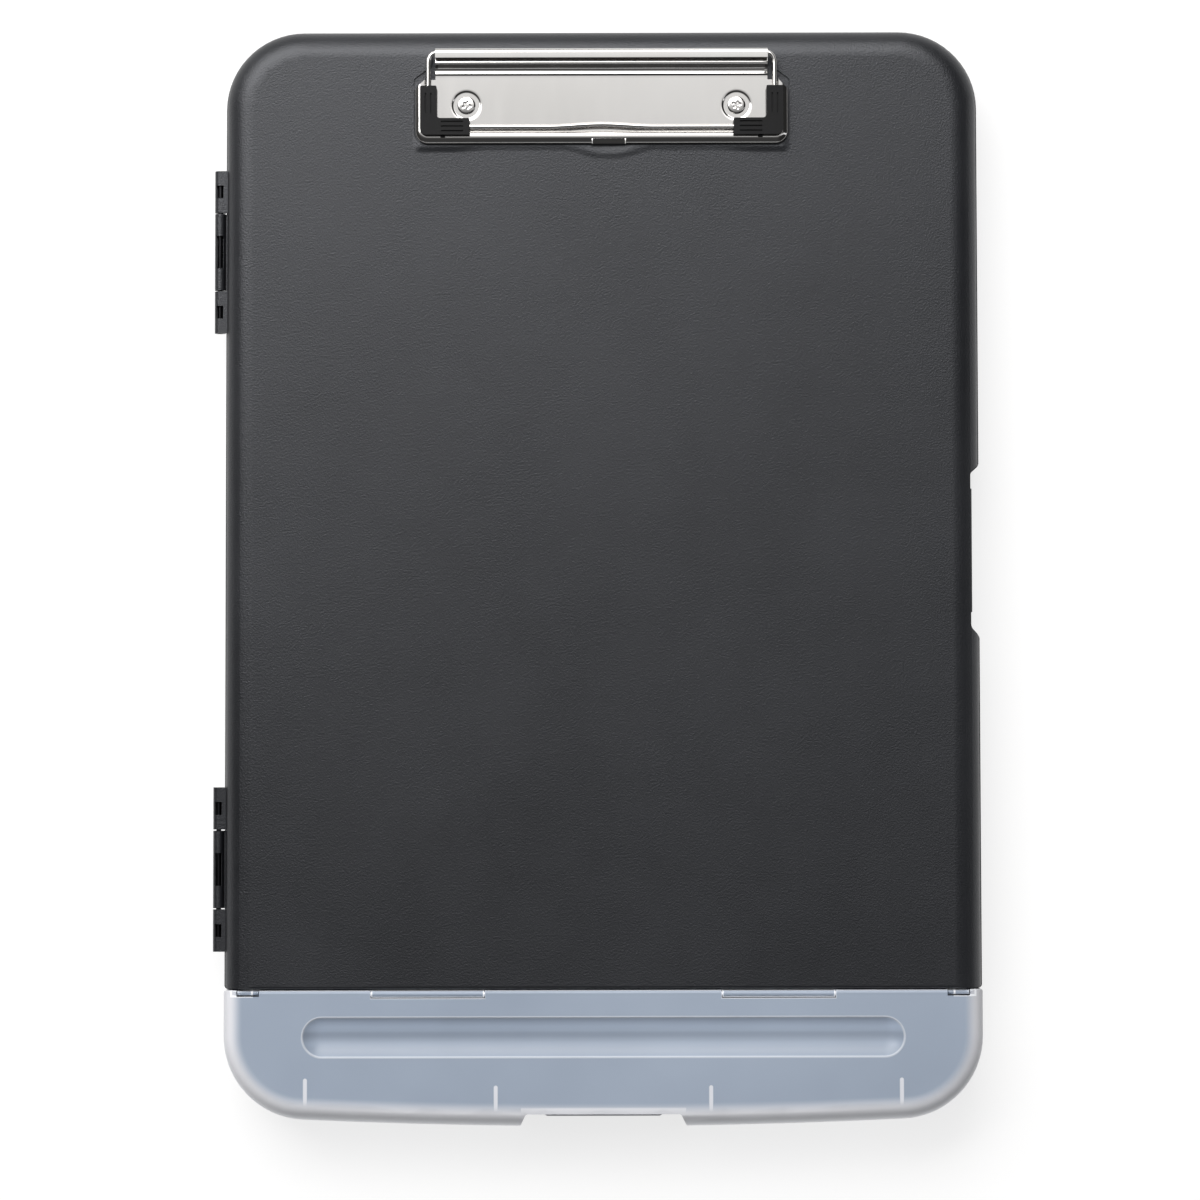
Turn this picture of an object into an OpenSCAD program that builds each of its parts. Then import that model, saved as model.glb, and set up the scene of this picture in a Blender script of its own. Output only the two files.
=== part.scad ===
// Storage clipboard box, lying on its back with the writing face up.
// X runs from the hinge side to the latch side, Y runs towards the clip end and Z points up.
// The origin is the middle of the case on its flat back.

/* [Case] */
// Width of the base tray across its side walls
case_w = 241; // [225:1:260]
// Length of the black case, without the pen box
case_l = 306.6; // [290:0.2:330]
// Plan radius of the two corners at the clip end
corner_r = 25; // [20:0.5:32]
// Depth of the base tray up to the parting line
base_h = 17; // [15:0.5:30]
// Height of the writing face above the parting line
cover_h = 8.4; // [7.8:0.1:12]
// Thickness of the base tray's walls
base_wall = 2.4; // [2.2:0.1:3]
// Thickness of the base tray's floor
base_floor = 2; // [1.5:0.1:3]
// Thickness of the cover's skirt
cover_skirt = 2.2; // [2:0.1:2.6]
// Thickness of the writing face
cover_face = 2; // [1.8:0.1:2.6]
// Distance from the cover's outline in to the base tray's outline
cover_inset = 0.4; // [0.2:0.1:0.5]
// Height of the cover's rounded front edge
cover_edge_h = 7.3; // [5:0.1:7.3]
// Width of the cover's rounded front edge
cover_edge_w = 9.1; // [7.4:0.1:10]
// Radius of the pen lid's rounded front edge
lid_round_r = 6.2; // [4:0.1:6.2]
// Radius of the rounded back edge of the base tray and of the pen tray
back_edge_r = 3; // [2:0.5:5]
// Radius of the small corners where the case meets the pen box
end_corner_r = 1.2; // [0.6:0.1:1.6]
// Gap between the upper and lower shells at the parting line
parting_gap = 0.3; // [0.2:0.1:0.5]
// Height of the lip that locates the cover on the base tray
lip_h = 1.8; // [1:0.1:2.5]
// Thickness of the cover's leaf outside the lip
leaf_t = 0.8; // [0.6:0.1:1]
// Clearance between the lip and the cover's leaf
lip_gap = 0.25; // [0.2:0.05:0.35]

/* [Hinges] */
// Distance from the clip end to the middle of the upper hinge
hinge_upper_drop = 71; // [55:1:110]
// Distance from the lower end of the case to the middle of the lower hinge
hinge_lower_rise = 38; // [32:0.1:80]
// Outer radius of the hinge barrels
barrel_r = 1.75; // [1.6:0.05:1.8]
// Gap between the barrels and the base tray's wall
barrel_gap = 0.2; // [0.15:0.05:0.4]
// Length of the base tray's middle knuckle
mid_knuckle = 24.6; // [18:0.2:30]
// Length of each of the cover's end knuckles
end_knuckle = 13.4; // [10:0.2:16]
// Gap between neighbouring knuckles
knuckle_gap = 0.4; // [0.3:0.1:0.6]
// Radius of the hinge pins
pin_r = 0.8; // [0.6:0.05:0.95]
// Radial clearance of the hinge pins in the cover's knuckles
pin_clear = 0.06; // [0.04:0.01:0.1]
// Length of the window in the middle knuckle
mid_window = 10.4; // [6:0.2:12]
// Length of the window in each end knuckle
end_window = 4.1; // [3:0.1:6]
// Width of the knuckle windows
window_w = 2.2; // [1.8:0.1:2.4]

/* [Latch side] */
// Distance from the clip end to the middle of the finger notch
notch_drop = 167.4; // [140:1:190]
// Depth of the finger notch
notch_d = 2.85; // [2:0.05:3.2]
// Length of the finger notch along its floor
notch_floor = 49.4; // [46:0.2:60]
// Run of each slanted end of the finger notch
notch_slant = 2.6; // [1:0.1:4]
// Radius of the finger notch's corners
notch_r = 2.4; // [1:0.1:2.6]
// Thickness of the walls behind the latch and the finger notch
notch_wall = 2; // [1.6:0.1:2.4]
// Length of the latch tongue
latch_l = 39.4; // [30:0.2:40]
// Thickness of the latch tongue
latch_t = 1.6; // [1.4:0.1:2]
// How far the latch stands proud of the notch floor
latch_proud = 0.25; // [0:0.05:0.6]
// Clearance around the latch tongue in its pocket
latch_gap = 0.25; // [0.2:0.05:0.4]
// Height of the latch's turning axis above the parting line
latch_axis_h = 4.2; // [3.9:0.1:4.8]
// Height of the latch tongue's lower end above the back
latch_foot = 6.5; // [5:0.5:8]
// Radius of the latch tongue's rounded upper end
latch_head_r = 0.85; // [0.8:0.05:0.95]
// Radius of the stub pins at each end of the latch
stub_r = 0.6; // [0.4:0.05:0.65]
// Length of the stub pins at each end of the latch
stub_l = 1.6; // [1:0.1:2.5]
// Radius of the latch's snap bead
bead_r = 0.5; // [0.3:0.05:0.6]

/* [Pen box] */
// Length of the pen box at its middle
pen_l = 43.3; // [38:0.1:55]
// Plan radius of the pen box's outer corners
pen_r = 26.5; // [22:0.5:28]
// Radius of the bowed front edge in plan
pen_bow_r = 2055; // [1200:5:4000]
// Gap between the pen box and the base tray
pen_gap = 0.1; // [0.05:0.05:0.3]
// Thickness of the pen tray's walls and floor
tray_t = 1.8; // [1.5:0.1:2.4]
// Thickness of the pen lid's skirt and roof
lid_t = 1.6; // [1.4:0.1:2]
// How far the pen lid's face lies below the writing face
lid_drop = 0.3; // [0.2:0.1:0.8]
// Length of the pen groove, end to end
groove_l = 190.4; // [150:1:200]
// Width of the pen groove
groove_w = 12.6; // [9:0.2:15]
// Depth of the pen groove
groove_d = 2.4; // [1.5:0.1:3]
// Distance from the pen lid's hinge edge to the middle of the groove
groove_y = 14.8; // [12:0.2:17]
// Distance from the middle of the box to each inner gusset
gusset_in = 34; // [28.5:0.2:45]
// Distance from the middle of the box to each outer gusset
gusset_out = 94.2; // [70:0.1:100]
// Thickness of the gussets
gusset_t = 1.2; // [0.8:0.1:1.6]
// Length of the outer gussets, from the front edge of the lid
gusset_l = 14.7; // [10:0.1:17]
// Depth of the thumb notch at the front edge
thumb_d = 4.2; // [2:0.1:4.2]
// Width of the thumb notch along its floor
thumb_floor = 49; // [40:1:52]
// Run of each slanted end of the thumb notch
thumb_slant = 2; // [0.5:0.1:4]
// Width of the thumb ledge on the pen tray
ledge_w = 39.8; // [30:0.2:42]
// How far the thumb ledge stands out of the notch floor
ledge_d = 1.1; // [0.5:0.1:1.6]

/* [Pen lid hinge] */
// Distance from the middle of the box to the middle of each hinge lug
lug_x = 55.5; // [40:0.1:80]
// Length of each hinge lug
lug_l = 35.6; // [24:0.2:44]
// Radius of the hinge lugs' rounded tops
lug_r = 1.1; // [1:0.05:1.15]
// Distance from the lid's face and from its edge to the hinge axis
lug_axis = 1.2; // [1.2:0.05:1.4]
// Clearance between the lugs and the lid
lug_gap = 0.3; // [0.25:0.05:0.45]
// Radius of the lid's stub pins
lid_pin_r = 0.6; // [0.5:0.05:0.65]
// Length of the lid's stub pins inside the lugs
lid_pin_l = 3; // [2:0.1:4]
// Radial clearance of the stub pins in the lugs and of the latch's pins in the cover
stub_clear = 0.08; // [0.04:0.01:0.1]
// Distance from the box's side to the middle of each small stop on the tray
stop_in = 8.1; // [6:0.1:12]
// Length of the small stops on the tray
stop_l = 6.6; // [4:0.1:7]

/* [Pen box fixing] */
// Distance from the middle of the box to each tongue
tongue_x = 82; // [60:1:90]
// Width of the tongue's neck
tongue_neck = 6; // [4:0.5:8]
// Width of the tongue's head
tongue_head = 11; // [10:0.5:14]
// Thickness of the tongue's head
tongue_t = 2; // [1.5:0.1:3]
// Clearance of the tongue in its slot
tongue_gap = 0.2; // [0.1:0.05:0.3]
// Height of the tongues
tongue_h = 12; // [8:0.5:12.5]

/* [Clip] */
// Overall width of the clip plate
clip_w = 119; // [110:1:125]
// Distance from the clip end of the case to the hinge roll's axis
roll_drop = 8.8; // [6:0.1:12]
// Distance from the hinge roll's axis to the clip plate's lower edge
clip_reach = 28.6; // [26:0.1:34]
// Distance from the clip plate's side to the end of the hinge roll
roll_step = 6.5; // [6.5:0.1:12]
// Thickness of the clip's sheet metal
sheet_t = 0.7; // [0.5:0.05:0.8]
// Clearance of the wire inside the hinge roll
wire_clear = 0.05; // [0.03:0.01:0.1]
// Radius of the bail wire
wire_r = 0.75; // [0.6:0.05:0.85]
// Height of the plate's floor above its seat
plate_rise = 0.9; // [0.6:0.05:1]
// Height of the flange above its seat
flange_h = 2.4; // [2.1:0.05:2.6]
// Plan radius of the flange's lower corners
flange_r = 4; // [3.5:0.1:5]
// Radius of the flange's rounded outer edge
flange_curl = 1.3; // [1:0.1:1.5]
// Distance from the middle of the clip plate to the middle of its centre tab
tab_x = 1.8; // [0:0.1:4]
// Distance from the hinge roll's axis to the crease across the plate's floor
crease_drop = 6.1; // [5.9:0.1:6.4]
// Width of the crease
crease_w = 1.4; // [1:0.1:1.6]
// Height of the crease above the plate's floor
crease_h = 0.3; // [0.2:0.05:0.35]
// Depth of the clip's seat in the cover
seat_d = 0.6; // [0.3:0.05:0.8]
// Gap between the clip plate and the edge of its seat
seat_gap = 0.5; // [0.3:0.1:1]
// Distance from the hinge roll's axis to the upper ends of the side flanges
flange_drop = 8.2; // [7.6:0.1:12]
// Distance from the clip plate's side to each rivet
rivet_in = 16.4; // [13.5:0.1:23]
// Distance from the hinge roll's axis to the rivets
rivet_drop = 16.4; // [14:0.1:17.5]
// Radius of the rivets' shanks
rivet_r = 2; // [1.5:0.1:2.3]
// Radius of the rivets' domed heads
rivet_head_r = 3.2; // [2.8:0.1:3.3]
// Height of the rivets' domed heads
rivet_head_h = 1.2; // [0.8:0.1:1.4]
// Outer radius of the dished rivet seats
dish_r = 4.9; // [4.7:0.1:5.4]
// Thickness of the washers inside the cover
washer_t = 0.8; // [0.5:0.1:1]
// Outer radius of the washers
washer_r = 4.6; // [4:0.1:6]

/* [Bail] */
// Distance from the clip plate's side to each arm of the bail wire
arm_in = 4.3; // [4.1:0.1:4.3]
// Distance from the hinge roll's axis to the wire's lower run
bail_reach = 23.7; // [22:0.1:24]
// Bend radius of the bail wire
bend_r = 2.2; // [2:0.1:2.2]
// Height of the wire's middle bow
bow_h = 0.75; // [0.3:0.05:1.2]
// Width of the wire's middle bow
bow_w = 34; // [24:1:44]
// Width of the rubber boots
boot_w = 5.3; // [4.6:0.1:5.5]
// Length of each boot along the wire's arm
boot_arm = 15.7; // [10:0.1:17]
// Length of each boot along the wire's lower run
boot_foot = 15.8; // [12:0.1:18]
// Height of the boots
boot_h = 2.8; // [2.4:0.1:3.2]
// Gap between the closed boots and the flange
jaw_gap = 0.1; // [0.1:0.05:0.5]

/* [Hidden] */
arc_fn = 96;                                // facets of a plain circle
$fn = arc_fn;
fine_fn = 720;                              // for arcs of a large radius
over = 1;                                   // how far cutters run past a face
hair = 0.01;                                // keeps a cutter's edge off the face beside it
core_in = 1;                                // from a rounded edge in to the core that joins the edges
seam_lap = 2;                                // degrees that the pen box's corner runs on into its bow

// Case
total_l = case_l + pen_gap + pen_l;
y_top = total_l / 2;
y_end = y_top - case_l;                     // lower end of the base tray
y_corner = y_top - corner_r;
corner_x = case_w / 2 - corner_r;
cover_z = base_h + parting_gap;
face_z = base_h + cover_h;                  // the writing face
cover_edge_r = min(cover_edge_h, cover_h - parting_gap - leaf_t);
edge_steps = 10;                            // steps of the cover's rounded edge
lip_in = cover_inset + leaf_t + lip_gap;    // from the tray's outline in to the lip
rebate_h = lip_h + lip_gap;
floor_edge_r = max(back_edge_r - base_wall, 0.6);
end_break = 0.8;                            // rounding of the cover's lower front edge

// Hinges
hinge_x = -(case_w / 2 + barrel_gap + barrel_r);
hinge_ys = [y_top - hinge_upper_drop, y_end + hinge_lower_rise];
end_knuckle_y = mid_knuckle / 2 + knuckle_gap + end_knuckle / 2;
hinge_l = mid_knuckle + 2 * knuckle_gap + 2 * end_knuckle;
pin_short = 0.7;                            // from a knuckle's end in to the pin's end
press_clear = 0.02;

// Latch side
notch_y = y_top - notch_drop;
notch_x = case_w / 2 - notch_d;             // notch floor of the base tray
latch_out = notch_x + latch_proud;          // outer face of the latch
latch_in = latch_out - latch_t;
latch_x = latch_in - 0.1;                   // turning axis
pocket_x = latch_in - latch_gap;
head_x = latch_x - latch_head_r - latch_gap;
block_x = head_x - notch_wall;
block_l = notch_floor + 2 * notch_slant + 2 * base_wall;
latch_z = base_h + latch_axis_h;
bead_z = (latch_foot + base_h) / 2;

// Pen box
pen_top = y_end - pen_gap;
pen_bottom = pen_top - pen_l;
pen_cx = case_w / 2 - pen_r;
bow_angle = round(asin(pen_cx / (pen_bow_r - pen_r)) * 1000) / 1000;
bow_run = pen_cx / sin(bow_angle);          // from the bow's centre to the corners' centres
pen_cy = pen_bottom + pen_r + bow_run * (1 - cos(bow_angle));
lid_z = face_z - lid_drop;
lid_h = lid_z - cover_z;
lid_edge_r = min(lid_round_r, lid_h - lid_t);
groove_r = (pow(groove_w / 2, 2) + pow(groove_d, 2)) / (2 * groove_d);
groove_cx = (groove_l - groove_w) / 2;
groove_cy = pen_top - groove_y;
gusset_h = 4.2;
gusset_step = 2.2;                          // how much shorter the inner gussets are
thumb_y = pen_bottom + thumb_d;             // floor of the thumb notch
thumb_r = 1;
ledge_t = 2.2;
ledge_slant = 2;

// Pen lid hinge
lug_y = pen_top - lug_axis;
lug_z = lid_z - lug_axis;
lug_slot_d = lug_axis + lug_r + lug_gap;    // depth of the lid's slot for a lug
stop_r = 0.7;                               // half the thickness of a stop
stop_y = pen_top - stop_r - 0.1;
stop_z = lug_z - 0.4;                       // middle of a stop's rounded top
stop_slot_d = 2;                            // depth of the lid's slot for a stop

// Pen box fixing
tongue_drop = 2;                            // from the parting line down to the tongues
tongue_z = base_h - tongue_drop - tongue_h;
boss_wall = 2;
slot_in = y_end + base_wall;                // inner face of the base tray's end wall

// Clip
seat_z = face_z - seat_d;
roll_y = y_top - roll_drop;
roll_in = wire_r + wire_clear;
roll_out = roll_in + sheet_t;
boot_z = seat_z + flange_h + jaw_gap;       // underside of the closed boots
wire_z = boot_z + boot_h / 2;
shoulder_z = wire_z - roll_out;             // underside of the sheet below the roll
clip_bottom = roll_y - clip_reach;
roll_w = clip_w - 2 * roll_step;
flange_cx = clip_w / 2 - flange_r;
flange_cy = clip_bottom + flange_r;
flange_top_y = roll_y - flange_drop;
ear_cut = 3;                                // chamfer at the flanges' upper ends
ramp_w = 0.5;
bend_in = 0.6;                              // inner radius of the shoulder's bends
rise = shoulder_z - seat_z - plate_rise;    // height of the shoulder above the floor
bend_a = 45;
shoulder_in = 3.1;                          // from the roll's axis to the shoulder's corner
shoulder_y = roll_y - shoulder_in;
bend_y = shoulder_y - rise / tan(bend_a);   // corner of the floor's underside
slit_a = 105;                               // end of the rolled sheet past the top
tab_w = 10.8;
tab_d = 0.3;
rivet_x = clip_w / 2 - rivet_in;
rivet_y = roll_y - rivet_drop;
dish_floor_r = rivet_head_r + 0.15;
tail_r = rivet_r + 0.9;
tail_h = 0.9;
dimple_r = 13.6;
dimple_d = 1;
dimple_out = 3.8;                           // how far the finger dimple shows below the clip
dimple_y = clip_bottom - dimple_out + dimple_r;

// Bail
bail_y = roll_y - bail_reach;
arm_x = clip_w / 2 - arm_in;
bow_a = round(2 * atan(bow_h / (bow_w / 2)) * 1000) / 1000;
bow_bend = bow_w / (4 * sin(bow_a));
bow_rise = 2 * bow_bend * (1 - cos(bow_a));
boot_x = arm_x - boot_w / 2;                // inner side of a boot's upright
boot_out = arm_x + boot_w / 2;
boot_low = bail_y - boot_w / 2;
boot_corner = 2;
groove_cut = 0.5;
nub_w = 1.4;
nub_d = 0.6;

// Arc points that round one corner of an outline. a and b are its neighbours and p is [x, y, radius].
function unit2(v) = v / norm(v);
function turn(a) = a > 180 ? a - 360 : (a < -180 ? a + 360 : a);
function corner_arc(a, p, b, n) =
    let (c = [p[0], p[1]],
         u = unit2([a[0], a[1]] - c),
         v = unit2([b[0], b[1]] - c),
         half = acos(max(-1, min(1, u * v))) / 2,
         mid = c + unit2(u + v) * p[2] / sin(half),
         from = c + u * p[2] / tan(half) - mid,
         to = c + v * p[2] / tan(half) - mid,
         a0 = atan2(from[1], from[0]),
         sweep = turn(atan2(to[1], to[0]) - a0))
    [for (i = [0:n]) mid + p[2] * [cos(a0 + sweep * i / n), sin(a0 + sweep * i / n)]];

// Outline whose corners [x, y, radius] are rounded. A radius of 0 leaves a corner sharp.
function rounded(pts, n = 8) = [
    for (i = [0:len(pts) - 1])
        let (p = pts[i],
             a = pts[(i + len(pts) - 1) % len(pts)],
             b = pts[(i + 1) % len(pts)])
        each p[2] > 0 ? corner_arc(a, p, b, n) : [[p[0], p[1]]]
];

// Moves in steps of falling size, since a saved position keeps only six figures
module place(x, y) {
    rough = [round(x), round(y), 0];
    close = [round((x - rough[0]) * 1000) / 1000, round((y - rough[1]) * 1000) / 1000, 0];
    translate(rough) translate(close) translate([x - rough[0] - close[0], y - rough[1] - close[1], 0])
        children();
}

// Section of a shell's edge: a rectangle whose upper outer corner is rounded
module edge_section(w, h, r, reach = 0) {
    if (reach > r) {
        polygon(concat([[0, 0], [w, 0]], [
            for (i = [0:edge_steps]) let (a = 90 * i / edge_steps)
                [w - reach * (1 - cos(a)), h - r * (1 - sin(a))]
        ], [[0, h]]));
    } else intersection() {
        square([w, h]);
        union() {
            square([w - r, h]);
            square([w, h - r]);
            translate([w - r, h - r]) circle(r);
        }
    }
}

// Plan outline of the case, inset from the base tray's outline
module case_plan(inset) {
    r = corner_r - inset;
    half = case_w / 2 - inset;
    translate([-half, y_end + inset]) square([2 * half, y_corner - y_end - inset]);
    translate([-corner_x, y_corner]) square([2 * corner_x, r]);
    for (s = [-1, 1]) {
        translate([s * corner_x, y_corner]) circle(r);
    }
}

// Solid block on the case's outline with a rounded upper edge on three sides
module case_block(inset, h, edge, reach = 0) {
    r = corner_r - inset;
    run = y_corner - y_end - inset;
    for (s = [0, 1]) mirror([s, 0, 0]) translate([corner_x, y_corner, 0]) {
        rotate([90, 0, 0]) linear_extrude(run) edge_section(r, h, edge, reach);
        rotate_extrude(angle = 90) edge_section(r, h, edge, reach);
    }
    translate([-corner_x, y_corner, 0]) rotate([90, 0, 90])
        linear_extrude(2 * corner_x) edge_section(r, h, edge, reach);
    // core that joins the swept edges
    core_r = r - max(edge, reach) - core_in;
    core_x = corner_x + core_r;
    linear_extrude(h) polygon(rounded([
        [-core_x, y_end + inset, 0], [core_x, y_end + inset, 0],
        [core_x, y_corner + core_r, core_r], [-core_x, y_corner + core_r, core_r]
    ]));
}

// Solid block on the pen box's outline with a rounded upper edge on three sides
module pen_block(inset, h, edge) {
    r = pen_r - inset;
    top = pen_top - inset;
    difference() {
        union() {
            for (s = [0, 1]) mirror([s, 0, 0]) {
                place(pen_cx, pen_cy) {
                    rotate([90, 0, 180]) linear_extrude(top - pen_cy + over)
                        mirror([1, 0, 0]) edge_section(r, h, edge);
                    mirror([0, 1, 0]) rotate_extrude(angle = 90 - bow_angle + seam_lap)
                        edge_section(r, h, edge);
                }
                place(0, pen_bottom + pen_r + bow_run) rotate([0, 0, -90])
                    rotate_extrude(angle = bow_angle, $fn = fine_fn)
                        place(bow_run, 0) edge_section(r, h, edge, $fn = arc_fn);
            }
            // core that joins the swept edges
            core_r = r - edge - core_in;
            core_x = pen_cx + core_r;
            core_y = pen_cy - core_r;
            linear_extrude(h) polygon(rounded([
                [-core_x, core_y, core_r], [core_x, core_y, core_r],
                [core_x, top + over, 0], [-core_x, top + over, 0]
            ]));
        }
        translate([-case_w, top, -over]) cube([2 * case_w, 4 * over, h + 2 * over]);
    }
}

// Rounds a vertical edge at the origin whose solid lies towards -X and -Y
module corner_cutter(z0, z1) {
    r = end_corner_r;
    translate([0, 0, z0]) linear_extrude(z1 - z0) difference() {
        translate([-r, -r]) square(r + over);
        translate([-r, -r]) circle(r, $fn = 48);
    }
}

// Notch in a wall whose outer face is x = 0 and whose solid lies at negative x
module notch_outline(depth, floor_l, slant, r) {
    half = floor_l / 2;
    mouth = half + slant;
    far = mouth + 2 * r + depth;
    polygon(rounded([
        [over + r, -far, 0], [hair, -far, 0], [hair, -mouth, r], [-depth, -half, r],
        [-depth, half, r], [hair, mouth, r], [hair, far, 0], [over + r, far, 0]
    ]));
}

module side_notch(x, z0, z1) {
    translate([x, notch_y, z0]) linear_extrude(z1 - z0)
        notch_outline(notch_d, notch_floor, notch_slant, notch_r);
}

module thumb_notch(z0, z1) {
    translate([0, pen_bottom, z0]) rotate([0, 0, -90]) linear_extrude(z1 - z0)
        notch_outline(thumb_d, thumb_floor, thumb_slant, thumb_r);
}

// Cylinder along Y and along X, centred on the origin
module y_rod(r, l) {
    rotate([90, 0, 0]) cylinder(r = r, h = l, center = true);
}

module x_rod(r, l) {
    rotate([0, 90, 0]) cylinder(r = r, h = l, center = true);
}

// One hinge knuckle on its axis, joined to a wall by a web above (up = 1) or below (up = -1) the axis
module knuckle(l, window, bore, up, reach) {
    web_z = up > 0 ? parting_gap : -barrel_r;
    web_h = barrel_r - parting_gap / 2 * (1 + up);
    difference() {
        union() {
            y_rod(barrel_r, l);
            translate([0, -l / 2, web_z]) cube([reach, l, web_h]);
        }
        y_rod(bore, l + 2 * over);
        translate([-window_w / 2, -window / 2, 0]) cube([window_w, window, barrel_r + over]);
    }
}

module base_tray() {
    color("#2b2c2f") difference() {
        union() {
            difference() {
                union() {
                    translate([0, 0, base_h]) mirror([0, 0, 1])
                        case_block(0, base_h, back_edge_r);
                    translate([0, 0, base_h - hair]) linear_extrude(lip_h + hair) difference() {
                        case_plan(lip_in);
                        case_plan(base_wall);
                    }
                }
                translate([0, 0, base_h + lip_h + over]) mirror([0, 0, 1])
                    case_block(base_wall, base_h + lip_h + over - base_floor, floor_edge_r);
            }
            // wall behind the finger notch and bosses round the pen box's tongues
            translate([block_x, notch_y - block_l / 2, base_floor / 2])
                cube([case_w / 2 - base_wall / 2 - block_x, block_l, base_h - base_floor / 2]);
            for (s = [-1, 1]) {
                translate([s * tongue_x, slot_in, 0]) tongue_boss();
            }
            for (y = hinge_ys) {
                translate([hinge_x, y, base_h])
                    knuckle(mid_knuckle, mid_window, pin_r + press_clear, -1,
                            barrel_r + barrel_gap + base_wall / 2);
            }
        }
        side_notch(case_w / 2, -over, base_h + lip_h + over);
        // the lip stops beside the cover's latch block
        translate([block_x - lip_gap, notch_y - block_l / 2 - lip_gap, base_h])
            cube([case_w, block_l + 2 * lip_gap, lip_h + over]);
        // pocket and bead groove for the latch
        translate([pocket_x, notch_y - latch_l / 2 - latch_gap, latch_foot - 2 * latch_gap])
            cube([notch_d + over, latch_l + 2 * latch_gap, base_h + over]);
        translate([latch_in, notch_y, bead_z])
            y_rod(bead_r + latch_gap, latch_l + 2 * latch_gap);
        for (s = [-1, 1]) {
            translate([s * tongue_x, 0, 0]) tongue_slot();
        }
        for (s = [0, 1]) mirror([s, 0, 0]) translate([case_w / 2, y_end, 0])
            mirror([0, 1, 0]) corner_cutter(-over, base_h + over);
    }
}

// Boss inside the base tray's end wall round a tongue's slot
module tongue_boss() {
    w = tongue_head + 2 * tongue_gap + 2 * boss_wall;
    d = tongue_t + 2 * tongue_gap + boss_wall;
    translate([-w / 2, -base_wall / 2, base_floor / 2])
        cube([w, d + base_wall / 2, base_h - base_floor / 2]);
}

module tongue_slot() {
    neck = tongue_neck + 2 * tongue_gap;
    head = tongue_head + 2 * tongue_gap;
    foot = tongue_z - tongue_gap;
    translate([-neck / 2, y_end - over, foot]) cube([neck, base_wall + 2 * over, base_h + over]);
    translate([-head / 2, slot_in, foot])
        cube([head, tongue_t + 2 * tongue_gap, base_h + over]);
}

module cover() {
    shell_h = cover_h - parting_gap;
    inner = cover_inset + cover_skirt;
    color("#303134") difference() {
        union() {
            difference() {
                translate([0, 0, cover_z]) case_block(cover_inset, shell_h, cover_edge_r, cover_edge_w);
                translate([0, 0, cover_z - over])
                    case_block(inner, shell_h - cover_face + over, cover_edge_r - cover_skirt);
                // rebate over the base tray's lip
                translate([0, 0, cover_z - over]) linear_extrude(over + rebate_h) difference() {
                    case_plan(cover_inset + leaf_t);
                    case_plan(inner + over / 2);
                }
            }
            intersection() {
                translate([0, 0, cover_z]) case_block(cover_inset, shell_h, cover_edge_r, cover_edge_w);
                translate([block_x, notch_y - block_l / 2, cover_z])
                    cube([case_w, block_l, shell_h]);
            }
            for (y = hinge_ys, s = [-1, 1]) {
                translate([hinge_x, y + s * end_knuckle_y, base_h])
                    knuckle(end_knuckle, end_window, pin_r + pin_clear, 1,
                            barrel_r + barrel_gap + cover_inset + leaf_t);
            }
        }
        side_notch(case_w / 2 - cover_inset, cover_z - over, face_z + over);
        latch_pocket();
        clip_seat();
        for (s = [0, 1]) mirror([s, 0, 0])
            translate([case_w / 2 - cover_inset, y_end + cover_inset, 0])
                mirror([0, 1, 0]) corner_cutter(cover_z - over, face_z + over);
        // rounded lower edge of the writing face
        translate([0, y_end + cover_inset, face_z]) edge_cutter(end_break, case_w);
        for (s = [-1, 1]) {
            translate([s * rivet_x, rivet_y, face_z - cover_face - over])
                cylinder(r = rivet_r + press_clear, h = cover_face + 2 * over);
        }
    }
}

// Cuts a quarter round of radius r along X off an edge that faces -Y and +Z
module edge_cutter(r, l) {
    rotate([90, 0, 90]) translate([0, 0, -l / 2]) linear_extrude(l) difference() {
        translate([-over, -r]) square([r + over, r + over]);
        translate([r, -r]) circle(r);
    }
}

module latch_pocket() {
    w = latch_l + 2 * latch_gap;
    top = latch_z + latch_head_r + latch_gap;
    translate([head_x, notch_y - w / 2, cover_z - over])
        cube([notch_d + 2 * over, w, top - cover_z + over]);
    translate([latch_x, notch_y, latch_z]) y_rod(stub_r + stub_clear, w + 2 * stub_l);
}

// Seat, finger dimple and clip outline cut into the writing face
module clip_seat() {
    out_x = clip_w / 2 + seat_gap;
    step_x = roll_w / 2 + seat_gap;
    low = clip_bottom - seat_gap;
    ear = flange_top_y + seat_gap;
    high = roll_y + roll_out + seat_gap;
    r = flange_r + seat_gap;
    translate([0, 0, seat_z]) linear_extrude(seat_d + over) polygon(rounded([
        [-out_x, low, r], [out_x, low, r], [out_x, ear, 1], [step_x + 1, ear + 4, 1],
        [step_x, high, 1], [-step_x, high, 1], [-step_x - 1, ear + 4, 1], [-out_x, ear, 1]
    ]));
    ball = (pow(dimple_r, 2) + pow(dimple_d, 2)) / (2 * dimple_d);
    translate([tab_x, dimple_y, face_z - dimple_d]) rotate_extrude() intersection() {
        translate([0, ball]) circle(ball, $fn = fine_fn);
        square([dimple_r + over, dimple_d + over]);
    }
}

module hinge_pin(y) {
    color("#8b8d90") translate([hinge_x, y, base_h]) y_rod(pin_r, hinge_l - 2 * pin_short);
}

module hinge_pin_upper() {
    hinge_pin(hinge_ys[0]);
}

module hinge_pin_lower() {
    hinge_pin(hinge_ys[1]);
}

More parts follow.
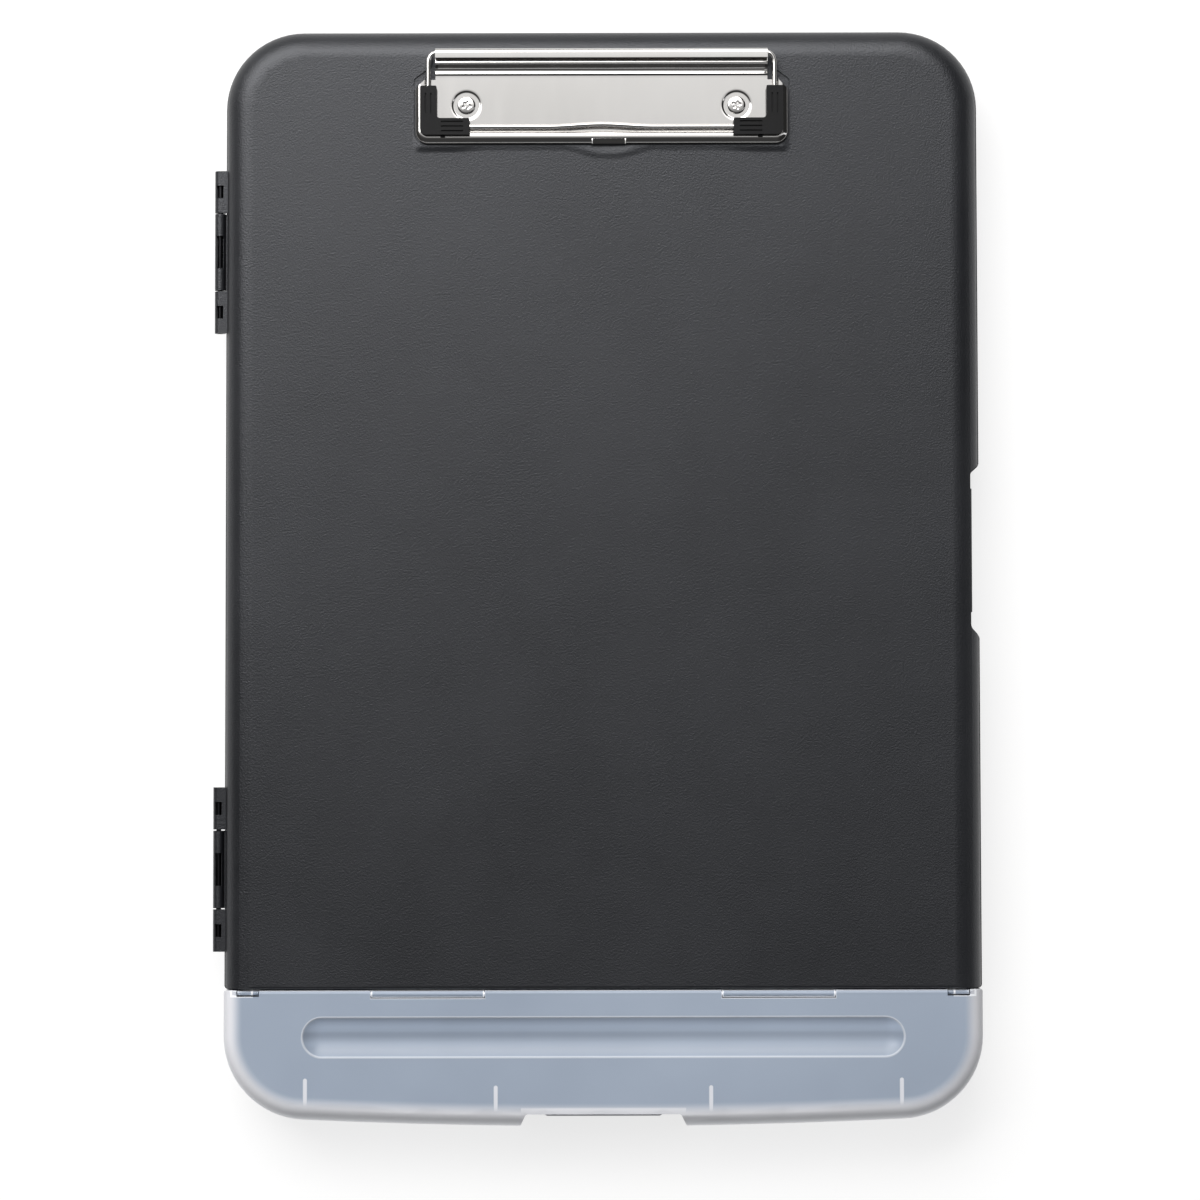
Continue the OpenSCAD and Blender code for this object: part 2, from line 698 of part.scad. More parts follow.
// Snap tongue hung on two stub pins, with a bead inside and a lip at its foot
module latch() {
    foot_out = 0.9;
    lip = 1;
    slope = 3;
    color("#2b2c2f") translate([0, notch_y, 0]) {
        rotate([90, 0, 0]) translate([0, 0, -latch_l / 2]) linear_extrude(latch_l) {
            translate([latch_x, latch_z]) circle(latch_head_r);
            polygon([
                [latch_x - latch_head_r, latch_z], [latch_in, latch_z - slope],
                [latch_in, latch_foot], [latch_out + foot_out, latch_foot],
                [latch_out + foot_out, latch_foot + lip], [latch_out, latch_foot + slope],
                [latch_out, latch_z - latch_head_r], [latch_x + latch_head_r, latch_z]
            ]);
            translate([latch_in, bead_z]) circle(bead_r);
        }
        translate([latch_x, 0, latch_z]) y_rod(stub_r, latch_l + 2 * stub_l);
    }
}

// Section of the clip plate across its hinge edge, with Y to the right and Z up
module plate_section() {
    z0 = seat_z + plate_rise;
    start = flange_top_y - 1.5;
    lean = sheet_t * tan(bend_a / 2);
    steps = 6;
    polygon(rounded([
        [start, z0, 0], [bend_y, z0, bend_in + sheet_t], [shoulder_y, shoulder_z, bend_in],
        [roll_y, shoulder_z, 0], [roll_y, shoulder_z + sheet_t, 0],
        [shoulder_y - lean, shoulder_z + sheet_t, bend_in + sheet_t],
        [bend_y - lean, z0 + sheet_t, bend_in], [start, z0 + sheet_t, 0]
    ], steps));
    // crease pressed up from the floor
    crease_r = (pow(crease_w / 2, 2) + pow(crease_h, 2)) / (2 * crease_h);
    translate([roll_y - crease_drop, z0 + sheet_t]) intersection() {
        translate([0, crease_h - crease_r]) circle(crease_r);
        translate([-crease_w / 2, -sheet_t / 2]) square([crease_w, crease_h + sheet_t / 2]);
    }
    // the roll turns up round the wire and back over its top
    translate([roll_y, wire_z]) {
        intersection() {
            difference() {
                circle(roll_out);
                circle(roll_in);
            }
            polygon([[0, -2 * roll_out], [2 * roll_out, -2 * roll_out], [2 * roll_out, 2 * roll_out],
                     [0, 2 * roll_out], 2 * roll_out * [-sin(slit_a), cos(slit_a)], [0, 0]]);
        }
    }
}

// Section of the flange from its corner's centre outwards
module flange_section() {
    top = flange_h - sheet_t;
    curl = flange_r - flange_curl;
    low = flange_h - flange_curl;
    polygon([
        [0, plate_rise], [ramp_w + 0.3, top], [curl, top], [curl, flange_h],
        [ramp_w, flange_h], [0, plate_rise + sheet_t]
    ]);
    intersection() {
        translate([curl, low]) difference() {
            circle(flange_curl);
            circle(flange_curl - sheet_t);
        }
        translate([curl, low]) square(flange_curl);
    }
    translate([flange_r - sheet_t, 0]) square([sheet_t, low]);
}

module clip_plate() {
    side_run = flange_top_y - flange_cy;
    color("#c9c9ca") difference() {
        union() {
            // flange along both sides, round the lower corners and along the lower edge
            translate([0, 0, seat_z]) {
                for (s = [0, 1]) mirror([s, 0, 0]) {
                    translate([flange_cx, flange_top_y, 0]) rotate([90, 0, 0])
                        linear_extrude(side_run) flange_section();
                    translate([flange_cx, flange_cy, 0]) rotate([0, 0, -90])
                        rotate_extrude(angle = 90) flange_section();
                }
                translate([flange_cx, flange_cy, 0]) rotate([90, 0, -90])
                    linear_extrude(2 * flange_cx) flange_section();
                difference() {
                    translate([-flange_cx, flange_cy, plate_rise])
                        cube([2 * flange_cx, side_run, sheet_t]);
                    for (s = [-1, 1]) {
                        translate([s * rivet_x, rivet_y, 0])
                            cylinder(r = dish_r, h = flange_h);
                    }
                }
                for (s = [-1, 1]) {
                    translate([s * rivet_x, rivet_y, 0]) rivet_dish();
                }
            }
            rotate([90, 0, 90]) translate([0, 0, -roll_w / 2]) linear_extrude(roll_w)
                plate_section();
            // small tab at the middle of the lower edge
            translate([tab_x - tab_w / 2, clip_bottom - tab_d, seat_z])
                cube([tab_w, tab_d + sheet_t / 2, flange_h - flange_curl]);
        }
        // chamfers at the upper ends of the side flanges
        for (s = [0, 1]) mirror([s, 0, 0]) {
            translate([clip_w / 2, flange_top_y, seat_z - over]) linear_extrude(flange_h + 2 * over)
                polygon([[over, -ear_cut - over], [-ear_cut - over, over], [over, over]]);
        }
    }
}

// Dished seat pressed into the plate's floor round a rivet
module rivet_dish() {
    rotate_extrude() polygon([
        [rivet_r + press_clear, 0], [dish_floor_r + 0.5, 0], [dish_r + 0.3, plate_rise],
        [dish_r + 0.3, plate_rise + sheet_t], [dish_r - 0.15, plate_rise + sheet_t],
        [dish_floor_r, sheet_t], [rivet_r + press_clear, sheet_t]
    ]);
}

// Domed rivet through the plate, the writing face and the washer
module rivet(x) {
    ball = (pow(rivet_head_r, 2) + pow(rivet_head_h, 2)) / (2 * rivet_head_h);
    head_z = seat_z + sheet_t;
    tail_z = face_z - cover_face - washer_t - tail_h;
    dent_r = 1.3;
    color("#d4d4d6") translate([x, rivet_y, 0]) {
        translate([0, 0, head_z]) rotate_extrude() difference() {
            intersection() {
                translate([0, rivet_head_h - ball]) circle(ball, $fn = 2 * $fn);
                square([rivet_head_r, rivet_head_h]);
            }
            polygon([[-over, rivet_head_h + over], [-over, rivet_head_h - 0.5],
                     [0, rivet_head_h - 0.5], [dent_r, rivet_head_h + hair],
                     [dent_r, rivet_head_h + over]]);
        }
        translate([0, 0, tail_z + hair]) cylinder(r = rivet_r, h = head_z - tail_z);
        translate([0, 0, tail_z]) cylinder(r1 = tail_r - 0.5, r2 = tail_r, h = tail_h);
    }
}

module rivet_left() {
    rivet(-rivet_x);
}

module rivet_right() {
    rivet(rivet_x);
}

module washer(x) {
    color("#b9babc") translate([x, rivet_y, face_z - cover_face - washer_t]) difference() {
        cylinder(r = washer_r, h = washer_t);
        translate([0, 0, -over]) cylinder(r = rivet_r + press_clear, h = washer_t + 2 * over);
    }
}

module washer_left() {
    washer(-rivet_x);
}

module washer_right() {
    washer(rivet_x);
}

// Round wire along +X, along +Y, and bent in the XY plane from angle a0 by da
module wire_disc(r) {
    circle(r, $fn = 32);
}

module x_wire(r, l) {
    rotate([90, 0, 90]) linear_extrude(l) wire_disc(r);
}

module y_wire(r, l) {
    rotate([90, 0, 180]) linear_extrude(l) wire_disc(r);
}

module wire_bend(r, bend, da) {
    rotate_extrude(angle = da, $fn = bend > bow_w / 4 ? fine_fn : arc_fn / 2)
        place(bend, 0) wire_disc(r);
}

// The closed bail: a run through the roll, two arms and a lower run with a bow in its middle
module wire_path(r) {
    straight = arm_x - bend_r;
    translate([0, 0, wire_z]) for (s = [0, 1]) mirror([s, 0, 0]) {
        translate([0, roll_y, 0]) x_wire(r, straight);
        translate([straight, roll_y - bend_r, 0]) wire_bend(r, bend_r, 90);
        translate([arm_x, bail_y + bend_r, 0]) y_wire(r, bail_reach - 2 * bend_r);
        translate([straight, bail_y + bend_r, 0]) rotate([0, 0, -90]) wire_bend(r, bend_r, 90);
        translate([bow_w / 2, bail_y, 0]) x_wire(r, straight - bow_w / 2);
        place(bow_w / 2, bail_y + bow_bend) mirror([1, 0, 0]) rotate([0, 0, -90])
            wire_bend(r, bow_bend, bow_a);
        place(0, bail_y + bow_rise - bow_bend) mirror([1, 0, 0]) rotate([0, 0, 90])
            wire_bend(r, bow_bend, bow_a);
    }
}

module clip_wire() {
    color("#cfcfd1") wire_path(wire_r);
}

// L-shaped rubber boot over the right corner of the bail
module boot() {
    foot_x = boot_out - boot_foot;
    arm_y = boot_low + boot_arm;
    inner_y = boot_low + boot_w;
    top = boot_z + boot_h;
    difference() {
        union() {
            translate([0, 0, boot_z]) linear_extrude(boot_h) polygon(rounded([
                [foot_x, boot_low, 0.4], [boot_out, boot_low, boot_corner], [boot_out, arm_y, 0.4],
                [boot_x, arm_y, 0.4], [boot_x, inner_y, 1.2], [foot_x, inner_y, 0.4]
            ]));
            translate([foot_x + boot_foot / 2, boot_low - nub_d, boot_z])
                cube([nub_w, 2 * nub_d, boot_h / 2]);
        }
        wire_path(wire_r + press_clear);
        // two grooves along the upright and three along the foot
        for (s = [-1, 1]) {
            translate([arm_x + s * 0.85 - groove_cut / 2, inner_y + 1.6, top - groove_cut])
                cube([groove_cut, arm_y - inner_y - 4, 2 * groove_cut]);
        }
        for (i = [-1:1]) {
            translate([foot_x + 2, bail_y + i * 1.5 - groove_cut / 2, top - groove_cut])
                cube([boot_foot - boot_w - 3.4, groove_cut, 2 * groove_cut]);
        }
    }
}

module boot_left() {
    color("#1f2022") mirror([1, 0, 0]) boot();
}

module boot_right() {
    color("#1f2022") boot();
}

// Wall behind the thumb notch
module thumb_block(z0, z1, wall) {
    half = thumb_floor / 2 + thumb_slant + wall;
    translate([-half, pen_bottom, z0]) cube([2 * half, thumb_d + wall, z1 - z0]);
}

module pen_tray() {
    color("#c3cad3", 0.85) difference() {
        union() {
            difference() {
                translate([0, 0, base_h]) mirror([0, 0, 1]) pen_block(0, base_h, back_edge_r);
                difference() {
                    translate([0, 0, base_h + over]) mirror([0, 0, 1])
                        pen_block(tray_t, base_h + over - tray_t, floor_edge_r);
                    thumb_block(0, base_h + 2 * over, tray_t);
                }
            }
            for (s = [-1, 1]) {
                translate([s * lug_x, 0, 0]) lug();
                translate([s * tongue_x, 0, 0]) tongue();
                translate([s * (case_w / 2 - stop_in), 0, 0]) stop();
            }
        }
        difference() {
            thumb_notch(-over, base_h + over);
            thumb_ledge();
        }
        for (s = [-1, 1]) {
            translate([s * lug_x, lug_y, lug_z])
                x_rod(lid_pin_r + stub_clear, lug_l + 2 * over);
        }
        for (s = [0, 1]) mirror([s, 0, 0]) translate([case_w / 2, pen_top, 0])
            corner_cutter(-over, base_h + over);
    }
}

// Ledge for the thumb at the tray's rim, with slanted ends
module thumb_ledge() {
    half = ledge_w / 2;
    translate([0, thumb_y, base_h - ledge_t]) linear_extrude(ledge_t + 2 * over) polygon([
        [-half, over], [-half, 0], [ledge_slant - half, -ledge_d], [half - ledge_slant, -ledge_d],
        [half, 0], [half, over]
    ]);
}

// Hinge lug standing on the tray's upper wall
module lug() {
    translate([-lug_l / 2, lug_y - lug_r, base_h - over])
        cube([lug_l, 2 * lug_r, lug_z - base_h + over]);
    translate([0, lug_y, lug_z]) x_rod(lug_r, lug_l);
    translate([-lug_l / 2, pen_top - lug_axis - lug_r, base_h - 2 * tray_t])
        cube([lug_l, lug_axis + lug_r, 2 * tray_t]);
}

// Small stop beside each end of the lid
module stop() {
    translate([-stop_l / 2, stop_y - stop_r, base_h - over])
        cube([stop_l, 2 * stop_r, stop_z - base_h + over]);
    translate([0, stop_y, stop_z]) x_rod(stop_r, stop_l);
}

// T-shaped tongue on the tray's upper wall
module tongue() {
    head_y = slot_in + tongue_gap;
    translate([-tongue_neck / 2, pen_top - tray_t / 2, tongue_z])
        cube([tongue_neck, head_y - pen_top + tray_t / 2 + hair, tongue_h]);
    translate([-tongue_head / 2, head_y, tongue_z]) cube([tongue_head, tongue_t, tongue_h]);
}

module pen_lid() {
    color("#b9c2cd", 0.75) {
        difference() {
            translate([0, 0, cover_z]) pen_block(0, lid_h, lid_edge_r);
            difference() {
                translate([0, 0, cover_z - over])
                    pen_block(lid_t, lid_h - lid_t + over, lid_edge_r - lid_t);
                thumb_block(cover_z - 2 * over, lid_z, lid_t);
                groove_capsule(groove_r + lid_t);
                gussets();
            }
            thumb_notch(cover_z - over, lid_z + over);
            groove_capsule(groove_r);
            translate([0, pen_top, lid_z]) mirror([0, 1, 0]) edge_cutter(lug_axis, case_w);
            for (s = [-1, 1]) {
                translate([s * lug_x, pen_top, 0]) lid_slot(lug_l, lug_slot_d);
                translate([s * (case_w / 2 - stop_in), pen_top, 0]) lid_slot(stop_l, stop_slot_d);
            }
            for (s = [0, 1]) mirror([s, 0, 0]) translate([case_w / 2, pen_top, 0])
                corner_cutter(cover_z - over, lid_z + over);
        }
        for (x = [-lug_x, lug_x], s = [-1, 1]) {
            translate([x + s * (lug_l / 2 + lug_gap / 2), lug_y, lug_z])
                x_rod(lid_pin_r, 2 * lid_pin_l);
        }
    }
}

// Slot through the lid's upper edge round a part of length l
module lid_slot(l, depth) {
    translate([-l / 2 - lug_gap, -depth, cover_z - over])
        cube([l + 2 * lug_gap, depth + over, lid_h + 2 * over]);
}

// Round-ended trough of the pen groove
module groove_capsule(r) {
    translate([0, groove_cy, lid_z - groove_d + groove_r]) {
        x_rod(r, 2 * groove_cx);
        for (s = [-1, 1]) {
            translate([s * groove_cx, 0, 0]) sphere(r);
        }
    }
}

// Four gusset ribs under the lid's roof behind its front skirt
module gussets() {
    for (s = [-1, 1], g = [[gusset_in, gusset_l - gusset_step], [gusset_out, gusset_l]]) {
        translate([s * g[0] - gusset_t / 2, pen_bottom, lid_z - lid_t - gusset_h])
            cube([gusset_t, g[1], gusset_h + lid_t]);
    }
}

base_tray();
cover();
hinge_pin_upper();
hinge_pin_lower();
latch();
clip_plate();
clip_wire();
boot_left();
boot_right();
rivet_left();
rivet_right();
washer_left();
washer_right();
pen_tray();
pen_lid();
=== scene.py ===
import math

import bmesh
import bpy
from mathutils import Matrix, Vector
from mathutils.geometry import delaunay_2d_cdt


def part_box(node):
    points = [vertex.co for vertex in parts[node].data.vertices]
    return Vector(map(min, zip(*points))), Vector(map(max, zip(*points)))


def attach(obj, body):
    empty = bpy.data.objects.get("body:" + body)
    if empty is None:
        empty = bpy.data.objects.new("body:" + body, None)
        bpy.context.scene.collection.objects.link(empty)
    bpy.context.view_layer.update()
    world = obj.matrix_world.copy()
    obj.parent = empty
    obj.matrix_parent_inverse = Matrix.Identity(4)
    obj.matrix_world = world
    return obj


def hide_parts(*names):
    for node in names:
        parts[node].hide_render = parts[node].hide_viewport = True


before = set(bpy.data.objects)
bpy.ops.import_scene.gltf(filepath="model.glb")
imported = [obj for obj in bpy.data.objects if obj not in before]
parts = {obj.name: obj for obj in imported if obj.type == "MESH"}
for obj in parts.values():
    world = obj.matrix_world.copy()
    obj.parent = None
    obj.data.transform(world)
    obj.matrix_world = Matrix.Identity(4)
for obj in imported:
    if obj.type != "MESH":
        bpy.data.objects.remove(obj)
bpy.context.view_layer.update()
scene = bpy.context.scene
scene.view_settings.view_transform = "Standard"
mm = 0.001
print("frame loaded:", len(parts), "parts")


def addObject(name, data):
    made = bpy.data.objects.new(name, data)
    scene.collection.objects.link(made)
    return made


# camera, as the picture was taken: from above, tipped a little towards the foot

shot = {
    "aim": (-0.0009, -0.0083, 0.025),           # point at the middle of the picture
    "distance": 1.191,
    "tip": 2.8,                                 # degrees from straight down
    "turn": -0.11,                              # degrees round the upright
    "lens": 112.5, "sensor": 36,                # in mm
    "near": 0.05,
}


def makeCamera():
    tip = math.radians(shot["tip"])
    data = bpy.data.cameras.new("camera")
    data.lens = shot["lens"]
    data.sensor_width = shot["sensor"]
    data.clip_start = shot["near"]
    camera = addObject("camera", data)
    back = Vector((0, -math.sin(tip), math.cos(tip)))
    camera.location = Vector(shot["aim"]) + shot["distance"] * back
    camera.rotation_euler = (tip, 0, math.radians(shot["turn"]))
    scene.camera = camera


makeCamera()


# node helpers

noiseRange = (0.3, 0.7)                         # where most of a noise's values lie


def srgb(r, g, b):
    def linear(c):
        c /= 255
        return c / 12.92 if c <= 0.04045 else ((c + 0.055) / 1.055) ** 2.4
    return (linear(r), linear(g), linear(b), 1)


class Graph:                                    # the nodes of a finish or of the sky
    def __init__(self, owner):
        owner.use_nodes = True
        self.nodes = owner.node_tree.nodes
        self.links = owner.node_tree.links

    def feed(self, made, inputs):               # an input is a value or another node's output
        for key, value in inputs.items():
            if isinstance(value, bpy.types.NodeSocket):
                self.links.new(value, made.inputs[key])
            else:
                made.inputs[key].default_value = value

    def node(self, kind, inputs=None, **settings):
        made = self.nodes.new("ShaderNode" + kind)
        for key, value in settings.items():
            setattr(made, key, value)
        self.feed(made, inputs or {})
        return made

    def math(self, operation, first, *others):  # from left to right
        for other in others or (0,):
            first = self.node("Math", {0: first, 1: other}, operation=operation).outputs[0]
        return first

    def plus(self, *values):
        return self.math("ADD", *values)

    def minus(self, *values):
        return self.math("SUBTRACT", *values)

    def times(self, *values):
        return self.math("MULTIPLY", *values)

    def most(self, *values):
        return self.math("MAXIMUM", *values)

    def size(self, value):                      # without its sign
        return self.math("ABSOLUTE", value)

    def far(self, a, b):                        # distance from its two parts
        return self.math("SQRT", self.plus(self.times(a, a), self.times(b, b)))

    def split(self, vector, axis):
        return self.node("SeparateXYZ", {0: vector}).outputs[axis]

    def span(self, value, low, high, start=0, end=1):     # start to end becomes low to high
        return self.node("MapRange", {"Value": value, "From Min": start, "From Max": end,
                                      "To Min": low, "To Max": high}).outputs[0]

    def smooth(self, value, start, end):        # 0 before start, 1 past end
        return self.node("MapRange", {"Value": value, "From Min": start, "From Max": end},
                         interpolation_type="SMOOTHSTEP").outputs[0]

    def below(self, value, limit, soft):        # 1 below the limit, 0 above it
        return self.smooth(value, limit + soft, limit - soft)

    def curve(self, value, points, top, straight=False):  # a line through points, from 0 to top
        made = self.node("FloatCurve", {"Value": value})
        line = made.mapping.curves[0].points
        places = [(at, height / top) for at, height in points]
        line[0].location = places[0]
        line[-1].location = places[-1]
        for at, height in places[1:-1]:
            line.new(at, height)
        if straight:
            for point in line:
                point.handle_type = "VECTOR"
        made.mapping.update()
        return self.times(made.outputs[0], top)


class Finish(Graph):
    def __init__(self, name):
        self.material = bpy.data.materials.new(name)
        super().__init__(self.material)
        self.place = self.node("TexCoord").outputs["Object"]

    def done(self, inputs):
        self.feed(self.nodes["Principled BSDF"], inputs)
        return self.material

    def noise(self, scale, detail, rough, stretch=(1, 1, 1)):
        where = self.node("Mapping", {"Vector": self.place, "Scale": stretch}).outputs[0]
        return self.node("TexNoise", {"Vector": where, "Scale": scale, "Detail": detail,
                                      "Roughness": rough}).outputs["Fac"]

    def cells(self, scale):
        return self.node("TexVoronoi", {"Vector": self.place, "Scale": scale}).outputs["Distance"]

    def scale(self, colour, share):
        return self.node("VectorMath", {0: colour, "Scale": share}, operation="SCALE").outputs[0]

    def blend(self, share, a, b):
        return self.node("Mix", {0: share, 6: a, 7: b}, data_type="RGBA").outputs[2]

    def tones(self, cloud, low, high):          # from one colour to the other as a noise goes
        made = self.node("ValToRGB", {"Fac": cloud})
        for key, position, colour in zip(made.color_ramp.elements, noiseRange, (low, high)):
            key.position = position
            key.color = colour
        return made.outputs["Color"]

    def bump(self, height, strength, depth, normal=None):
        inputs = {"Height": height, "Strength": strength, "Distance": depth}
        if normal:
            inputs["Normal"] = normal
        return self.node("Bump", inputs).outputs["Normal"]


# light: a wide lamp beyond the clip end, weak strips beside and below, and a sky that is
# brightest overhead and towards the clip end

lamps = {
    "key": {"at": (-0.34, 0.80, 0.92), "size": (1.5, 0.85), "power": 25, "colour": (1, 0.99, 0.98)},
    "side": {"at": (1.15, 0.0, 1.10), "size": (0.14, 1.7), "power": 1.1, "colour": (0.97, 0.98, 1)},
    "foot": {"at": (-0.1, -1.45, 0.95), "size": (1.8, 0.4), "power": 1.2, "colour": (0.97, 0.98, 1)},
}
sky = {
    # how far a direction leans towards the clip end, and its light
    "along": [(-1, 0.03), (-0.42, 0.03), (-0.14, 0.10), (0.06, 0.78), (0.17, 1.0), (0.31, 2.3),
              (0.42, 1.5), (0.56, 0.8), (0.72, 0.12), (1, 0.03)],
    "middle": -0.16, "fade": (0.64, 0.30),      # sideways: where the fade ends and starts
    "least": 0.03,
}


def makeLights():
    for name, lamp in lamps.items():
        data = bpy.data.lights.new(name, "AREA")
        data.shape = "RECTANGLE"
        data.size, data.size_y = lamp["size"]
        data.energy = lamp["power"]
        data.color = lamp["colour"]
        light = addObject(name, data)
        light.location = lamp["at"]
        light.rotation_euler = (-light.location).to_track_quat("-Z", "Y").to_euler()


def makeSky():
    world = bpy.data.worlds.new("sky")
    g = Graph(world)
    direction = g.node("TexCoord").outputs["Generated"]
    brightest = max(light for _, light in sky["along"])
    points = [((lean + 1) / 2, light) for lean, light in sky["along"]]
    along = g.curve(g.span(g.split(direction, "Y"), 0, 1, -1, 1), points, brightest, straight=True)
    across = g.smooth(g.size(g.minus(g.split(direction, "X"), sky["middle"])), *sky["fade"])
    light = g.plus(g.times(along, across), sky["least"])
    g.feed(g.nodes["Background"], {"Color": (1, 1, 1, 1), "Strength": light})
    scene.world = world


makeLights()
makeSky()
print("camera and lights made")


# finishes: a noise is its scale, detail, roughness and stretch, and a rise is a bump's strength
# and depth

blackLook = {
    "low": srgb(12, 13, 16), "high": srgb(23, 24, 27),
    "tint": (0.93, 0.95, 1, 1),                 # of its gloss
    "cloud": (24, 5, 0.6), "grain": (1500, 4, 0.65), "pores": 2100,
    "rough": (0.355, 0.425), "cloudShare": 0.6,         # the rest of the roughness is the grain's
    "grainRise": (0.32, 0.3 * mm), "poreRise": (0.13, 0.3 * mm),
}
land = {                                        # low step round the clip's foot and the finger dimple
    "rise": 0.26 * mm, "edge": 1.0 * mm, "soft": 1.2 * mm,
    "x": 2.3 * mm, "bulge": 2.7 * mm, "reach": (15 * mm, 2 * mm),           # at the dimple
    "corner": (36 * mm, 50 * mm), "cornerBulge": 0.5 * mm,
    "share": 0.75, "cornerShare": 0.7,          # of the rise, and what the corners add
    # where it fades: past the sides, up the cover and down its wall
    "sides": (60.5 * mm, 57.5 * mm), "up": (22 * mm, 12 * mm), "deep": (-4 * mm, -2 * mm),
}
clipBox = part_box("clip_plate")


def clipLand(f):
    x, y, z = (f.split(f.place, axis) for axis in "XYZ")
    _, front, seat = clipBox[0]
    side = f.size(x)
    near = f.smooth(f.size(f.minus(x, land["x"])), *land["reach"])
    corner = f.smooth(side, *land["corner"])
    bulges = f.times(near, land["bulge"]), f.times(corner, land["cornerBulge"])
    over = f.smooth(f.minus(y, f.minus(front - land["edge"], *bulges)), -land["soft"], land["soft"])
    fades = (side, 0, land["sides"]), (y, front, land["up"]), (z, seat, land["deep"])
    for value, origin, (start, end) in fades:
        over = f.times(over, f.smooth(value, origin + start, origin + end))
    return f.times(over, f.plus(f.times(corner, land["cornerShare"]), land["share"]))


def makeBlackPlastic():
    f = Finish("blackPlastic")
    cloud, grain = f.noise(*blackLook["cloud"]), f.noise(*blackLook["grain"])
    share = blackLook["cloudShare"]
    mixed = f.plus(f.times(cloud, share), f.times(grain, 1 - share))
    step = f.bump(clipLand(f), 1, land["rise"])
    soft = f.bump(grain, *blackLook["grainRise"], step)
    return f.done({
        "Base Color": f.tones(cloud, blackLook["low"], blackLook["high"]),
        "Specular Tint": blackLook["tint"],
        "Roughness": f.span(mixed, *blackLook["rough"], *noiseRange),
        "Normal": f.bump(f.cells(blackLook["pores"]), *blackLook["poreRise"], soft),
    })


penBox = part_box("pen_lid")
penLook = {
    "low": srgb(155, 167, 184), "high": srgb(165, 177, 194),     # over the hollow: the plastic's own blue-grey, with painted shade of the hollow seen through it
    "rim": srgb(224, 225, 230),                                 # where walls and ribs thicken it: partly its own whiter tone, partly painted light gathered in the walls
    "line": srgb(238, 240, 244),                                # painted highlight along moulded edges, for the light they gather
    "alpha": (0.80, 0.98), "rough": (0.30, 0.42), "hazeRise": (0.05, 0.2 * mm),
    "cloud": (18, 3, 0.5), "haze": (700, 3, 0.6),
    "glow": 0.18, "edgeGlow": 0.32,             # painted glow: emission of the slots' lines and of the outline
    "ribShare": 0.85, "notchShare": 0.92,       # of the rim's tone and its painted light
    "grooveShare": 0.45, "hingeShare": 0.7,     # of the painted highlight's tone
    # painted light and shade in the groove: tones from its foot side to its hinge side
    "groove": [(0, 0.95), (0.06, 0.88), (0.2, 0.84), (0.34, 0.93), (0.44, 0.86), (0.54, 0.82),
               (0.68, 1.2), (0.82, 1.44), (0.95, 1.34), (1, 1.0)],
    "brightest": 1.5,
}
penShape = {
    "halfWidth": 122.3 * mm, "corner": 26.5 * mm, "foot": -175.4 * mm,
    "bow": 2.055,                               # radius of the foot's curve, in metres
    "rim": (8.4 * mm, 4.0 * mm), "edge": (2.9 * mm, 0),          # where they start and are full
    "ribs": ((34.0 * mm, -162.3 * mm), (94.2 * mm, -160.0 * mm)), "ribHalf": 0.62 * mm,
    "notch": (26.2 * mm, -168.65 * mm), "notchSoft": (0.3 * mm, 0.55 * mm),
    # groove: half its straight run, its radius, how far it is from the hinge side, and its wall
    "run": 88.9 * mm, "radius": 6.3 * mm, "back": 14.8 * mm, "wall": (0, -0.4 * mm),
    # slots: middle, half width and depth
    "slots": ((55.5 * mm, 17.95 * mm, 2.5 * mm), (114.4 * mm, 3.45 * mm, 1.95 * mm)),
    # painted highlight lines: half width, softness and shift into the slots; the hinge edge's painted
    # highlight; the depth below the face that painted marks keep to
    "lineHalf": 0.32 * mm, "lineSoft": 0.15 * mm, "lineIn": 0.13 * mm,
    "hinge": (-0.45 * mm, -0.15 * mm), "face": (-5 * mm, -4 * mm),
}


def penRim(f, side, x, y):                      # where walls and ribs are, which get the rim's tone with its painted light, and the very edge, which gets a painted glow
    corner, soft = penShape["corner"], penShape["lineSoft"]
    lift = f.times(x, x, 0.5 / penShape["bow"])
    inX = f.most(f.minus(side, penShape["halfWidth"] - corner), 0)
    inY = f.most(f.minus(f.plus(lift, penShape["foot"] + corner), y), 0)
    depth = f.minus(corner, f.far(inX, inY))
    rims = [f.smooth(depth, *penShape["rim"])]
    for ribX, ribTop in penShape["ribs"]:
        away = f.far(f.minus(side, ribX), f.most(f.minus(y, ribTop), 0))
        rims.append(f.times(f.below(away, penShape["ribHalf"], soft), penLook["ribShare"]))
    (notchX, notchY), (softX, softY) = penShape["notch"], penShape["notchSoft"]
    notch = f.times(f.below(side, notchX, softX), f.below(y, notchY, softY))
    rims.append(f.times(notch, penLook["notchShare"]))
    return f.most(*rims), f.smooth(depth, *penShape["edge"])


# 1 along a painted highlight line, where off is near 0
def nearLine(f, off):
    return f.below(f.size(off), penShape["lineHalf"], penShape["lineSoft"])


